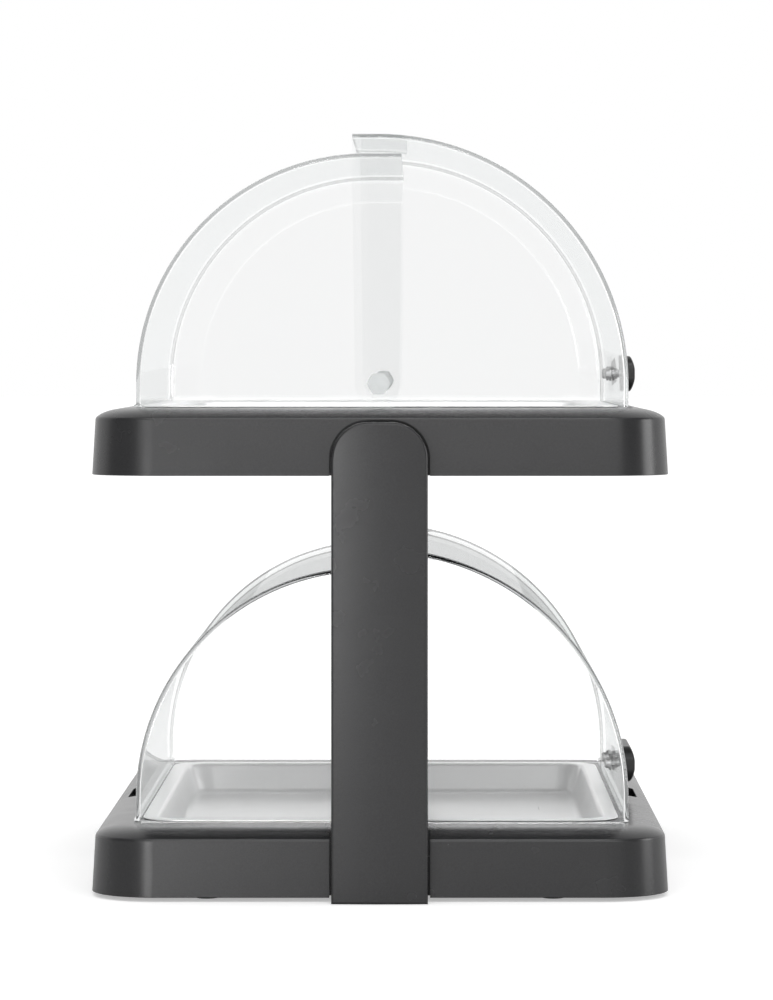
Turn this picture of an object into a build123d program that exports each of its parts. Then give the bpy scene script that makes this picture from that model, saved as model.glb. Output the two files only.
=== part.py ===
"""A two-tier roll-top buffet display: moulded decks on two uprights, trays and clear rolling covers."""

from build123d import *
from math import atan, degrees, sqrt
import os

os.makedirs("parts", exist_ok=True)

# Axes: X runs across the display towards the handles, Y along it, Z up. Lengths are in millimetres.
# The origin is on the table, under the middle of the display. Near is the end at -Y, far is at +Y.

# Decks, one per tier, both from the same mould apart from the seat for the uprights
deck_length = 440.0
deck_width = 320.0
deck_corner = 36.0
deck_wall = 3.0
foot_height = 2.4
skirt_height = 31.2
skirt_inset = 1.8
shoulder_rise = 5.7
shoulder_run = 19.0
shoulder_roundness = 8.0
tier_pitch = 231.0
skirt_angle = degrees(atan(skirt_inset / skirt_height))
skirt_top = foot_height + skirt_height
deck_top = skirt_top + shoulder_rise

# Ribs and bosses under a deck
rib_thickness = 2.2
rib_lift = 8.0
side_rib_spacing = 92.0
end_rib_offset = 62.0
foot_boss_radius = 8.5
foot_spacing_x = 191.0
foot_spacing_y = 396.0

# Slots in the shoulder of the long sides
slot_length = 54.0
slot_width = 7.5
slot_reach = 147.0

# Covers: the roll cover turns about the pivot, outside the fixed one
pivot_x = -1.0
pivot_height = 13.4
cover_wall = 2.3
cover_seat_gap = 0.4
roll_radius = 139.3
roll_length = 360.0
roll_flange = 14.7
fixed_radius = 128.6
fixed_set_back = 6.8
fixed_flange = 19.6
fixed_edge_lean = 0.8
fixed_toe_lean = 3.2
end_wall_gap = 0.9
cover_edge_radius = 3.0
foot_bead_height = 1.6
foot_bead_reach = 1.0
roof_tolerance = 1.0
end_tolerance = 0.01
roll_inner_radius = roll_radius - cover_wall
roll_half = roll_length / 2
roll_half_inside = roll_half - cover_wall
fixed_half = roll_half_inside - end_wall_gap
fixed_half_inside = fixed_half - cover_wall
lobe_radius = pivot_height - cover_seat_gap

# Pivot hardware
bolt_radius = 3.0
bolt_head_flats = 11.6
bolt_head_height = 4.0
bolt_recess_radius = 3.6
bolt_recess_depth = 1.5
bolt_running_gap = 0.06
bolt_head_gap = 0.1
bolt_overrun = 1.0
nut_flats = 10.0
nut_height = 4.5
washer_radius = 6.0
washer_gap = 0.2
washer_thickness = end_wall_gap - washer_gap

# Handle on the roll cover
handle_length = 65.0
handle_height = 21.0
handle_rise = 5.0
handle_edge_depth = 8.3
handle_depth = 11.0
handle_corner = 8.0
handle_edge_radius = 1.4
handle_back_gap = 0.05
handle_screw_spacing = 38.0
screw_radius = 2.0
screw_gap = 0.05
screw_head_radius = 3.1
screw_head_height = 2.8
screw_head_chamfer = 0.9
screw_grip = 6.0
screw_washer_radius = 4.2
screw_washer_thickness = 1.2
screw_seat_drop = handle_rise + screw_washer_radius
screw_seat = pivot_x + sqrt(roll_inner_radius**2 - screw_seat_drop**2) - screw_gap

# Tray of thin stainless sheet, its flange on the deck inside the covers' feet
tray_sheet = 0.8
tray_seat_gap = 0.3
tray_cover_gap = 0.6
tray_side_gap = 1.2
tray_depth = 18.5
tray_slope = 20.0
tray_bend = 5.0
flange_overlap = 6.7
flange_corner = 21.0
flange_half_width = fixed_radius - cover_wall + fixed_set_back - pivot_x - tray_cover_gap
flange_half_length = fixed_half_inside - tray_cover_gap
tray_flange_z = deck_top + tray_seat_gap

# Well in the deck for the tray and the cooling packs
well_corner = 17.0
well_depth = 32.9
well_half_width = flange_half_width - flange_overlap
well_half_length = flange_half_length - flange_overlap
well_floor = deck_top - well_depth

# Cooling packs under the tray
pack_thickness = 13.6
pack_gap = 2.0
pack_corner = 12.0
pack_edge = 3.0
pack_panel_depth = 1.2
pack_panel_border = 14.0
pack_panel_corner = 6.0

# Uprights at both ends
upright_width = 52.8
upright_corner = 20.0
upright_proud = 11.0
upright_seat_depth = 11.0
upright_wall = 3.0
upright_crown = 0.8
upright_edge_radius = 1.6
upright_top_drop = 1.6
upright_gap = 1.2
upright_rib_count = 5
upright_screw_spacing = 28.0
upright_boss_radius = 4.6
liner_thickness = 2.4
liner_gap = 0.25
liner_end_gap = 0.6
upright_front = deck_length / 2 + upright_proud
upright_back = deck_length / 2 - upright_seat_depth
upright_top = tier_pitch + skirt_top - upright_top_drop
upright_screw_height = (foot_height + skirt_top) / 2
upright_screw_head_radius = 4.0
upright_screw_head_height = 2.6
upright_screw_grip = 12.0

# Feet
foot_radius = 7.0
foot_stem_radius = 3.0
foot_stem_length = 6.0
foot_edge = 0.8

tiers = {"lower": 0.0, "upper": tier_pitch}
ends = {"near": -1, "far": 1}
overcut = 5.0


def save(piece, name):
    """Name a finished piece and write it out."""
    piece.part.label = name
    export_step(piece.part, f"parts/{name}.step")


def end_plane(side, distance, height=0.0):
    """A plane that faces out of one end of the display, with its own y axis upwards."""
    return Plane(origin=(0, side * distance, height), x_dir=(-side, 0, 0), z_dir=(0, side, 0))


def upright_outline(plane, bottom, top, gap=0.0):
    """The front view of an upright, with round top corners, grown by a gap."""
    with BuildSketch(plane) as outline:
        with Locations((0, (bottom + top) / 2)):
            Rectangle(upright_width + 2 * gap, top - bottom)
        fillet(outline.vertices().group_by(Axis.Y)[-1], upright_corner + gap)
    return outline


def deck_hollow(height, inset, ribbed):
    """The open space under a deck, round the well, less the ribs, bosses and upright seats."""
    with BuildSketch(Plane.XY.offset(height)) as hollow:
        corner = max(deck_corner - inset, well_corner)
        RectangleRounded(deck_width - 2 * inset, deck_length - 2 * inset, corner)
        RectangleRounded(
            2 * (well_half_width + deck_wall),
            2 * (well_half_length + deck_wall),
            well_corner + deck_wall,
            mode=Mode.SUBTRACT,
        )
        seat_width = upright_width + 2 * upright_gap + 2 * deck_wall
        seat_length = upright_seat_depth + deck_wall
        with Locations((0, (deck_length - seat_length) / 2), (0, -(deck_length - seat_length) / 2)):
            Rectangle(seat_width, seat_length, mode=Mode.SUBTRACT)
        with GridLocations(foot_spacing_x, foot_spacing_y, 2, 2):
            Circle(foot_boss_radius, mode=Mode.SUBTRACT)
        if ribbed:
            with GridLocations(0, side_rib_spacing, 1, 4):
                Rectangle(deck_width, rib_thickness, mode=Mode.SUBTRACT)
            with GridLocations(2 * end_rib_offset, 0, 2, 1):
                Rectangle(rib_thickness, deck_length, mode=Mode.SUBTRACT)
    return hollow


def make_shoulder_cutter(base):
    """What the rounded shoulder leaves off: an elliptical quarter round carried round the deck's edge."""
    half_width = deck_width / 2 - skirt_inset
    half_length = deck_length / 2 - skirt_inset
    ellipse_reach = shoulder_run / sqrt(1 - (1 - shoulder_rise / shoulder_roundness) ** 2)
    with BuildPart() as cutter:
        with BuildLine(Plane.XY.offset(base + skirt_top)) as edge:
            FilletPolyline(
                (half_width, 0),
                (half_width, half_length),
                (-half_width, half_length),
                (-half_width, 0),
                radius=deck_corner - skirt_inset,
            )
        with BuildSketch(Plane.XZ) as corner:
            with Locations((half_width - shoulder_run, base + skirt_top)):
                Rectangle(
                    shoulder_run + overcut, shoulder_rise + overcut, align=(Align.MIN, Align.MIN)
                )
            with Locations((half_width - shoulder_run, base + deck_top - shoulder_roundness)):
                Ellipse(ellipse_reach, shoulder_roundness, mode=Mode.SUBTRACT)
        sweep(sections=corner.sketch, path=edge.wires()[0])
        mirror(about=Plane.XZ)
    return cutter


def make_deck(base):
    """One deck: drafted skirt, rounded shoulder, well, ribbed underside, slots and upright seats."""
    top_half_width = deck_width / 2 - skirt_inset
    top_half_length = deck_length / 2 - skirt_inset
    top_corner = deck_corner - skirt_inset
    with BuildPart() as deck:
        # Skirt and top
        with BuildSketch(Plane.XY.offset(base + foot_height)):
            RectangleRounded(deck_width, deck_length, deck_corner)
        extrude(amount=skirt_height, taper=skirt_angle)
        with BuildSketch(Plane.XY.offset(base + skirt_top)):
            RectangleRounded(2 * top_half_width, 2 * top_half_length, top_corner)
        extrude(amount=shoulder_rise)

        add(make_shoulder_cutter(base).part, mode=Mode.SUBTRACT)

        # Well for the cooling packs and the tray
        with BuildSketch(Plane.XY.offset(base + well_floor)):
            RectangleRounded(2 * well_half_width, 2 * well_half_length, well_corner)
        extrude(amount=well_depth, mode=Mode.SUBTRACT)

        # Underside: open below the ribs, ribbed above, and deeper inside the shoulder
        open_part = deck_hollow(base + foot_height, deck_wall, ribbed=False)
        extrude(open_part.sketch, amount=rib_lift, mode=Mode.SUBTRACT)
        ribbed_part = deck_hollow(base + foot_height + rib_lift, deck_wall + skirt_inset, ribbed=True)
        extrude(ribbed_part.sketch, amount=skirt_height - rib_lift - deck_wall, mode=Mode.SUBTRACT)
        upper_inset = deck_wall + skirt_inset + shoulder_run
        upper_part = deck_hollow(base + skirt_top - deck_wall, upper_inset, ribbed=True)
        extrude(upper_part.sketch, amount=shoulder_rise, mode=Mode.SUBTRACT)
        with BuildSketch(Plane.XY.offset(base + foot_height)):
            RectangleRounded(2 * well_half_width, 2 * well_half_length, well_corner)
        extrude(amount=well_floor - deck_wall - foot_height, mode=Mode.SUBTRACT)

        # Seats for the uprights in both ends, with their screw holes
        for side in ends.values():
            seat = upright_outline(
                end_plane(side, upright_back, base), 0, upright_top - base + upright_gap, upright_gap
            )
            extrude(seat.sketch, amount=upright_seat_depth + overcut, mode=Mode.SUBTRACT)
            with BuildSketch(end_plane(side, upright_back - deck_wall, base + upright_screw_height)):
                with GridLocations(upright_screw_spacing, 0, 2, 1):
                    Circle(screw_radius + screw_gap)
            extrude(amount=deck_wall, mode=Mode.SUBTRACT)

        # Slots in the long sides, and blind holes in the bosses for the feet
        with BuildSketch(Plane.XY.offset(base + skirt_top - deck_wall)):
            with GridLocations(2 * slot_reach, 0, 2, 1):
                SlotOverall(slot_length, slot_width, rotation=90)
        extrude(amount=shoulder_rise + deck_wall + overcut, mode=Mode.SUBTRACT)
        with BuildSketch(Plane.XY.offset(base + foot_height)):
            with GridLocations(foot_spacing_x, foot_spacing_y, 2, 2):
                Circle(foot_stem_radius + screw_gap)
        extrude(amount=foot_stem_length + screw_gap, mode=Mode.SUBTRACT)
    return deck


def make_tray(base):
    """A shallow stainless tray with sloped walls and a flat flange that lies on the deck."""
    top = base + tray_flange_z
    half_width = well_half_width - tray_side_gap
    half_length = well_half_length - tray_side_gap
    corner = well_corner - tray_side_gap
    with BuildPart() as bowl:
        with BuildSketch(Plane.XY.offset(top)):
            RectangleRounded(
                2 * (half_width - tray_sheet), 2 * (half_length - tray_sheet), corner - tray_sheet
            )
        extrude(amount=-(tray_depth - tray_sheet), taper=tray_slope)
        fillet(bowl.edges().group_by(Axis.Z)[0], tray_bend)
        with BuildSketch(Plane.XY.offset(top)):
            RectangleRounded(
                2 * (half_width - tray_sheet), 2 * (half_length - tray_sheet), corner - tray_sheet
            )
        extrude(amount=2 * tray_sheet)
    with BuildPart() as tray:
        with BuildSketch(Plane.XY.offset(top)):
            RectangleRounded(2 * half_width, 2 * half_length, corner)
        extrude(amount=-tray_depth, taper=tray_slope)
        fillet(tray.edges().group_by(Axis.Z)[0], tray_bend + tray_sheet)
        with BuildSketch(Plane.XY.offset(top)):
            RectangleRounded(2 * flange_half_width, 2 * flange_half_length, flange_corner)
        extrude(amount=tray_sheet)
        add(bowl.part, mode=Mode.SUBTRACT)
    return tray


def make_cooling_pack(base, side):
    """A sealed cooling pack with a rounded case and a sunk top panel."""
    width = 2 * (well_half_width - pack_gap)
    length = (2 * well_half_length - 3 * pack_gap) / 2
    middle = side * (well_half_length - pack_gap - length / 2)
    with BuildPart() as pack:
        with BuildSketch(Plane.XY.offset(base + well_floor)):
            with Locations((0, middle)):
                RectangleRounded(width, length, pack_corner)
        extrude(amount=pack_thickness)
        fillet(pack.edges().group_by(Axis.Z)[-1], pack_edge)
        with BuildSketch(Plane.XY.offset(base + well_floor + pack_thickness - pack_panel_depth)):
            with Locations((0, middle)):
                RectangleRounded(
                    width - 2 * pack_panel_border, length - 2 * pack_panel_border, pack_panel_corner
                )
        extrude(amount=pack_panel_depth, mode=Mode.SUBTRACT)
    return pack


def roof_edges(cover, half_length, centre, radius):
    """The edges of a cover's blank between its roof and its end walls; its foot lies further in."""
    found = []
    for edge in cover.edges():
        middle = edge.position_at(0.5)
        reach = sqrt((middle.X - centre[0]) ** 2 + (middle.Z - centre[1]) ** 2)
        if abs(abs(middle.Y) - half_length) < end_tolerance and reach > radius - roof_tolerance:
            found.append(edge)
    return found


def make_roll_cover(base):
    """The clear cover that rolls back: a quarter roof with a short flange, and two end walls."""
    pivot = (pivot_x, base + deck_top + pivot_height)
    foot = base + deck_top + cover_seat_gap
    top = pivot[1] + roll_radius
    front = pivot_x + roll_radius
    with BuildPart() as cover:
        with BuildSketch(Plane.XZ):
            with BuildLine():
                RadiusArc((front, pivot[1]), (pivot_x, top), -roll_radius)
                Polyline(
                    (pivot_x, top),
                    (pivot_x - roll_flange, top),
                    (pivot_x - lobe_radius, pivot[1]),
                )
                RadiusArc((pivot_x - lobe_radius, pivot[1]), (pivot_x, foot), -lobe_radius)
                Polyline((pivot_x, foot), (front, foot), (front, pivot[1]))
            make_face()
        extrude(amount=roll_half, both=True)
        fillet(roof_edges(cover, roll_half, pivot, roll_radius), cover_edge_radius)
        with BuildSketch(Plane.XZ):
            with BuildLine():
                RadiusArc(
                    (pivot_x + roll_inner_radius, pivot[1]), (pivot_x, top - cover_wall), -roll_inner_radius
                )
                Polyline(
                    (pivot_x, top - cover_wall),
                    (pivot_x - roll_flange - overcut, top - cover_wall),
                    (pivot_x - roll_flange - overcut, foot - overcut),
                    (pivot_x + roll_inner_radius, foot - overcut),
                    (pivot_x + roll_inner_radius, pivot[1]),
                )
            make_face()
        extrude(amount=roll_half_inside, both=True, mode=Mode.SUBTRACT)

        # Pivot holes in the end walls and screw holes for the handle
        with BuildSketch(Plane.XZ):
            with Locations(pivot):
                Circle(bolt_radius + bolt_running_gap)
        extrude(amount=roll_half, both=True, mode=Mode.SUBTRACT)
        with BuildSketch(Plane.YZ.offset(pivot_x + roll_inner_radius - overcut)):
            with Locations((0, pivot[1] + handle_rise)):
                with GridLocations(handle_screw_spacing, 0, 2, 1):
                    Circle(screw_radius + screw_gap)
        extrude(amount=2 * overcut + cover_wall, mode=Mode.SUBTRACT)
    return cover


def make_fixed_cover(base):
    """The clear rear cover: a quarter roof set back from the pivot, with a beaded foot."""
    pivot = (pivot_x, base + deck_top + pivot_height)
    centre_x = pivot_x - fixed_set_back
    foot = base + deck_top + cover_seat_gap
    top = pivot[1] + fixed_radius
    rear = centre_x - fixed_radius
    front = centre_x + fixed_flange
    inner_radius = fixed_radius - cover_wall
    with BuildPart() as cover:
        with BuildSketch(Plane.XZ):
            with BuildLine():
                RadiusArc((rear, pivot[1]), (centre_x, top), fixed_radius)
                Polyline(
                    (centre_x, top),
                    (front, top),
                    (front - fixed_edge_lean, pivot[1]),
                    (front - fixed_edge_lean - fixed_toe_lean, foot),
                    (rear, foot),
                    (rear, pivot[1]),
                )
            make_face()
        extrude(amount=fixed_half, both=True)
        fillet(
            roof_edges(cover, fixed_half, (centre_x, pivot[1]), fixed_radius), cover_edge_radius
        )
        with BuildSketch(Plane.XZ):
            with BuildLine():
                RadiusArc((centre_x - inner_radius, pivot[1]), (centre_x, top - cover_wall), inner_radius)
                Polyline(
                    (centre_x, top - cover_wall),
                    (front + overcut, top - cover_wall),
                    (front + overcut, foot - overcut),
                    (centre_x - inner_radius, foot - overcut),
                    (centre_x - inner_radius, pivot[1]),
                )
            make_face()
        extrude(amount=fixed_half_inside, both=True, mode=Mode.SUBTRACT)
        with BuildSketch(Plane.XZ):
            with Locations((rear - foot_bead_reach, foot)):
                Rectangle(foot_bead_reach + cover_wall, foot_bead_height, align=(Align.MIN, Align.MIN))
        extrude(amount=fixed_half - cover_edge_radius, both=True)
        with BuildSketch(Plane.XZ):
            with Locations(pivot):
                Circle(bolt_radius + bolt_running_gap)
        extrude(amount=fixed_half, both=True, mode=Mode.SUBTRACT)
    return cover


def make_pivot_bolts(base):
    """Two hex-headed bolts, one through each pair of end walls."""
    height = base + deck_top + pivot_height
    with BuildPart() as bolts:
        for side in ends.values():
            head_plane = end_plane(side, roll_half + bolt_head_gap, height)
            with BuildSketch(head_plane):
                with Locations((-side * pivot_x, 0)):
                    RegularPolygon(bolt_head_flats / 2, 6, major_radius=False)
            extrude(amount=bolt_head_height)
            with BuildSketch(end_plane(side, fixed_half_inside - nut_height - bolt_overrun, height)):
                with Locations((-side * pivot_x, 0)):
                    Circle(bolt_radius)
            extrude(amount=nut_height + bolt_overrun + roll_half - fixed_half_inside + bolt_head_gap)
            recess_reach = roll_half + bolt_head_gap + bolt_head_height - bolt_recess_depth
            with BuildSketch(end_plane(side, recess_reach, height)):
                with Locations((-side * pivot_x, 0)):
                    Circle(bolt_recess_radius)
            extrude(amount=bolt_recess_depth, mode=Mode.SUBTRACT)
    return bolts


def make_pivot_washers(base):
    """Two thin washers that keep the covers' end walls apart."""
    height = base + deck_top + pivot_height
    with BuildPart() as washers:
        for side in ends.values():
            with BuildSketch(end_plane(side, fixed_half, height)):
                with Locations((-side * pivot_x, 0)):
                    Circle(washer_radius)
                    Circle(bolt_radius + bolt_running_gap, mode=Mode.SUBTRACT)
            extrude(amount=washer_thickness)
    return washers


def make_pivot_nuts(base):
    """Two hex nuts inside the fixed cover."""
    height = base + deck_top + pivot_height
    with BuildPart() as nuts:
        for side in ends.values():
            with BuildSketch(end_plane(side, fixed_half_inside - nut_height, height)):
                with Locations((-side * pivot_x, 0)):
                    RegularPolygon(nut_flats / 2, 6, major_radius=False)
                    Circle(bolt_radius + bolt_running_gap, mode=Mode.SUBTRACT)
            extrude(amount=nut_height)
    return nuts


def make_handle(base):
    """The long grip, with a crowned face, a back that fits the roof and blind screw holes."""
    pivot_z = base + deck_top + pivot_height
    back = pivot_x + roll_radius
    top = pivot_z + handle_rise + handle_height / 2
    bottom = top - handle_height
    with BuildPart() as handle:
        with BuildSketch(Plane.XZ):
            with BuildLine():
                ThreePointArc(
                    (back + handle_edge_depth, bottom),
                    (back + handle_depth, (top + bottom) / 2),
                    (back + handle_edge_depth, top),
                )
                Polyline(
                    (back + handle_edge_depth, top),
                    (back - overcut, top),
                    (back - overcut, bottom),
                    (back + handle_edge_depth, bottom),
                )
            make_face()
        extrude(amount=handle_length / 2, both=True)
        fillet(handle.edges().filter_by(Axis.X), handle_corner)
        fillet(handle.faces().sort_by(Axis.X)[-1].edges(), handle_edge_radius)
        with BuildSketch(Plane.XZ):
            with Locations((pivot_x, pivot_z)):
                Circle(roll_radius + handle_back_gap)
                Rectangle(
                    2 * (roll_radius + handle_back_gap), handle_height, align=(Align.CENTER, Align.MAX)
                )
        extrude(amount=handle_length, both=True, mode=Mode.SUBTRACT)
        with BuildSketch(Plane.YZ.offset(back - overcut)):
            with Locations((0, pivot_z + handle_rise)):
                with GridLocations(handle_screw_spacing, 0, 2, 1):
                    Circle(screw_radius + screw_gap)
        extrude(amount=overcut + screw_grip + screw_gap, mode=Mode.SUBTRACT)
    return handle


def make_handle_screws(base):
    """Two round-headed screws, driven from inside the roll cover into the grip."""
    height = base + deck_top + pivot_height + handle_rise
    head_start = screw_seat - screw_washer_thickness
    with BuildPart() as screws:
        with BuildSketch(Plane.YZ.offset(head_start - screw_head_height)):
            with Locations((0, height)):
                with GridLocations(handle_screw_spacing, 0, 2, 1):
                    Circle(screw_head_radius)
        extrude(amount=screw_head_height)
        chamfer(screws.edges().group_by(Axis.X)[0], screw_head_chamfer)
        with BuildSketch(Plane.YZ.offset(head_start)):
            with Locations((0, height)):
                with GridLocations(handle_screw_spacing, 0, 2, 1):
                    Circle(screw_radius)
        extrude(amount=pivot_x + roll_radius + screw_grip - head_start)
    return screws


def make_handle_washers(base):
    """Two washers under the screw heads, against the inside of the roof."""
    height = base + deck_top + pivot_height + handle_rise
    with BuildPart() as washers:
        with BuildSketch(Plane.YZ.offset(screw_seat - screw_washer_thickness)):
            with Locations((0, height)):
                with GridLocations(handle_screw_spacing, 0, 2, 1):
                    Circle(screw_washer_radius)
                    Circle(screw_radius + screw_gap, mode=Mode.SUBTRACT)
        extrude(amount=screw_washer_thickness)
    return washers


def make_upright(side):
    """A hollow moulded post: crowned face, round top corners, ribs across and screw bosses."""
    depth = upright_front - upright_back
    crown_radius = (upright_width**2 / 4 + upright_crown**2) / (2 * upright_crown)
    with BuildPart() as upright:
        extrude(upright_outline(end_plane(side, upright_back), 0, upright_top).sketch, amount=depth)
        with BuildSketch(Plane.XY) as crown:
            with Locations((0, side * (upright_front - crown_radius))):
                Circle(crown_radius)
        extrude(amount=upright_top, mode=Mode.INTERSECT)
        face = upright.faces().sort_by(Axis.Y)[-1 if side > 0 else 0]
        fillet(face.edges(), upright_edge_radius)

        # Hollow, less the ribs and the bosses for the screws
        rib_pitch = (tier_pitch - deck_top) / (upright_rib_count + 1)
        with BuildSketch(end_plane(side, upright_back)) as room:
            with Locations((0, upright_top / 2)):
                Rectangle(upright_width - 2 * upright_wall, upright_top - 2 * upright_wall)
            fillet(room.vertices().group_by(Axis.Y)[-1], upright_corner - upright_wall)
            for base in tiers.values():
                with Locations((0, base + upright_screw_height)):
                    with GridLocations(upright_screw_spacing, 0, 2, 1):
                        Circle(upright_boss_radius, mode=Mode.SUBTRACT)
        extrude(amount=depth - upright_wall - upright_crown, mode=Mode.SUBTRACT)
        with BuildSketch(end_plane(side, upright_back + liner_thickness)):
            with Locations((0, (deck_top + tier_pitch) / 2)):
                with GridLocations(0, rib_pitch, 1, upright_rib_count):
                    Rectangle(upright_width - 2 * upright_wall, rib_thickness)
        extrude(amount=depth - liner_thickness - upright_wall)
        for base in tiers.values():
            with BuildSketch(end_plane(side, upright_back, base + upright_screw_height)):
                with GridLocations(upright_screw_spacing, 0, 2, 1):
                    Circle(screw_radius + screw_gap)
            extrude(amount=upright_screw_grip + screw_gap, mode=Mode.SUBTRACT)
    return upright


def make_upright_liner(side):
    """The plate that closes a post on the food side, between the two decks."""
    bottom = deck_top + liner_end_gap
    top = tier_pitch + foot_height - liner_end_gap
    with BuildPart() as liner:
        with BuildSketch(end_plane(side, upright_back)):
            with Locations((0, (bottom + top) / 2)):
                Rectangle(upright_width - 2 * upright_wall - 2 * liner_gap, top - bottom)
        extrude(amount=liner_thickness)
    return liner


def make_upright_screws(side):
    """Four screws that hold the decks to a post, their heads inside the decks."""
    seat = upright_back - deck_wall
    with BuildPart() as screws:
        for base in tiers.values():
            height = base + upright_screw_height
            with BuildSketch(end_plane(side, seat - upright_screw_head_height, height)):
                with GridLocations(upright_screw_spacing, 0, 2, 1):
                    Circle(upright_screw_head_radius)
            extrude(amount=upright_screw_head_height)
            with BuildSketch(end_plane(side, seat, height)):
                with GridLocations(upright_screw_spacing, 0, 2, 1):
                    Circle(screw_radius)
            extrude(amount=deck_wall + upright_screw_grip)
    return screws


def make_feet():
    """Four rubber feet with stems that plug into the bosses of the lower deck."""
    with BuildPart() as feet:
        with BuildSketch(Plane.XY):
            with GridLocations(foot_spacing_x, foot_spacing_y, 2, 2):
                Circle(foot_radius)
        extrude(amount=foot_height)
        chamfer(feet.edges().group_by(Axis.Z)[0], foot_edge)
        with BuildSketch(Plane.XY.offset(foot_height)):
            with GridLocations(foot_spacing_x, foot_spacing_y, 2, 2):
                Circle(foot_stem_radius)
        extrude(amount=foot_stem_length)
    return feet


for tier, base in tiers.items():
    save(make_deck(base), f"{tier}_deck")
    save(make_tray(base), f"{tier}_tray")
    for end, side in ends.items():
        save(make_cooling_pack(base, side), f"{tier}_{end}_cooling_pack")
    save(make_fixed_cover(base), f"{tier}_fixed_cover")
    save(make_roll_cover(base), f"{tier}_roll_cover")
    save(make_pivot_bolts(base), f"{tier}_pivot_bolts")
    save(make_pivot_washers(base), f"{tier}_pivot_washers")
    save(make_pivot_nuts(base), f"{tier}_pivot_nuts")
    save(make_handle(base), f"{tier}_handle")
    save(make_handle_screws(base), f"{tier}_handle_screws")
    save(make_handle_washers(base), f"{tier}_handle_washers")

for end, side in ends.items():
    save(make_upright(side), f"{end}_upright")
    save(make_upright_liner(side), f"{end}_upright_liner")
    save(make_upright_screws(side), f"{end}_upright_screws")

save(make_feet(), "feet")
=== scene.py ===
from math import atan2, cos, pi, radians, sin, sqrt

import bmesh
import bpy
from bpy.props import FloatProperty, FloatVectorProperty, IntProperty, PointerProperty
from mathutils import Matrix, Vector


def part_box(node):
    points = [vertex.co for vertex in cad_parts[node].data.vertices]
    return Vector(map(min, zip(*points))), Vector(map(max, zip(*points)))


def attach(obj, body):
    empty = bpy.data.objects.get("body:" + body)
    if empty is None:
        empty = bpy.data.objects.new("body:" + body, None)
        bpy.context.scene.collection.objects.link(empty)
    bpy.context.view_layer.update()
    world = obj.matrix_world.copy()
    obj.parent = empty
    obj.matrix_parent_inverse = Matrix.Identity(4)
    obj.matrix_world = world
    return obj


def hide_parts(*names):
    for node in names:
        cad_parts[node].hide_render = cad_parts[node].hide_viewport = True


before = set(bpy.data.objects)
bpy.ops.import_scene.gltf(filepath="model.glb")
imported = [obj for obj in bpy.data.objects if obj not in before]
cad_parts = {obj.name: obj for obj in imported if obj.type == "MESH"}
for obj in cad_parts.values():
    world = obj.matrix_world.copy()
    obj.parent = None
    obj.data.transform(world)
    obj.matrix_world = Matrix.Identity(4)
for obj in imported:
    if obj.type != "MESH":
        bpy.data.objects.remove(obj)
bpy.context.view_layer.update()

bl_info = {
    "name": "Roll-Top Buffet Display",
    "version": (1, 0, 0),
    "blender": (4, 5, 0),
    "location": "View3D > Sidebar > Display",
    "description": "Builds the surfaces and finishes of a two-tier roll-top buffet display",
    "category": "Object",
}

MM = 0.001
TIERS = ("lower", "upper")
ENDS = {"near": -1, "far": 1}
DECK_LOW, DECK_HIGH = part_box("lower_deck")
TIER_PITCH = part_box("upper_deck")[0].z - DECK_LOW.z
BASES = {"lower": 0.0, "upper": TIER_PITCH}
ROLL_LOW, ROLL_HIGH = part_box("lower_roll_cover")
FIXED_LOW, FIXED_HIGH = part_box("lower_fixed_cover")
TRAY_LOW, TRAY_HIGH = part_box("lower_tray")
HANDLE_LOW, HANDLE_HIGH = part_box("lower_handle")
UPRIGHT_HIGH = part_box("near_upright")[1]
UPRIGHT_CORNER = 20 * MM

# Ribs and foot bosses under the decks: their places, half width, gaps below and above, and boss radius
RIBS_ALONG = (-138 * MM, -46 * MM, 46 * MM, 138 * MM)
RIBS_ACROSS = (-62 * MM, 62 * MM)
RIB_HALF = 1.1 * MM
RIB_FOOT, RIB_HEAD = 8 * MM, 6 * MM
BOSS_X, BOSS_Y = 95.5 * MM, 198 * MM
BOSS_RADIUS = 8.5 * MM

# Overlaps that keep joins and cuts clean
HAIR = 0.05 * MM
LAP = 0.2 * MM
BITE = 1 * MM
OVERCUT = 5 * MM


def length(name, description, default, unit="LENGTH"):
    """A size in metres, or in another unit, that a user may change."""
    return FloatProperty(name=name, description=description, default=default, min=0, unit=unit, precision=4)


def coordinate(name, description, default):
    """A coordinate in metres that a user may change."""
    return FloatProperty(name=name, description=description, default=default, unit="LENGTH", precision=4)


def colour(name, description, default):
    """A linear colour that a user may change."""
    return FloatVectorProperty(
        name=name, description=description, default=default, size=3, min=0, max=1, subtype="COLOR"
    )


def share(name, description, default):
    """A value from nothing to one that a user may change."""
    return FloatProperty(name=name, description=description, default=default, min=0, max=1, subtype="FACTOR")


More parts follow.
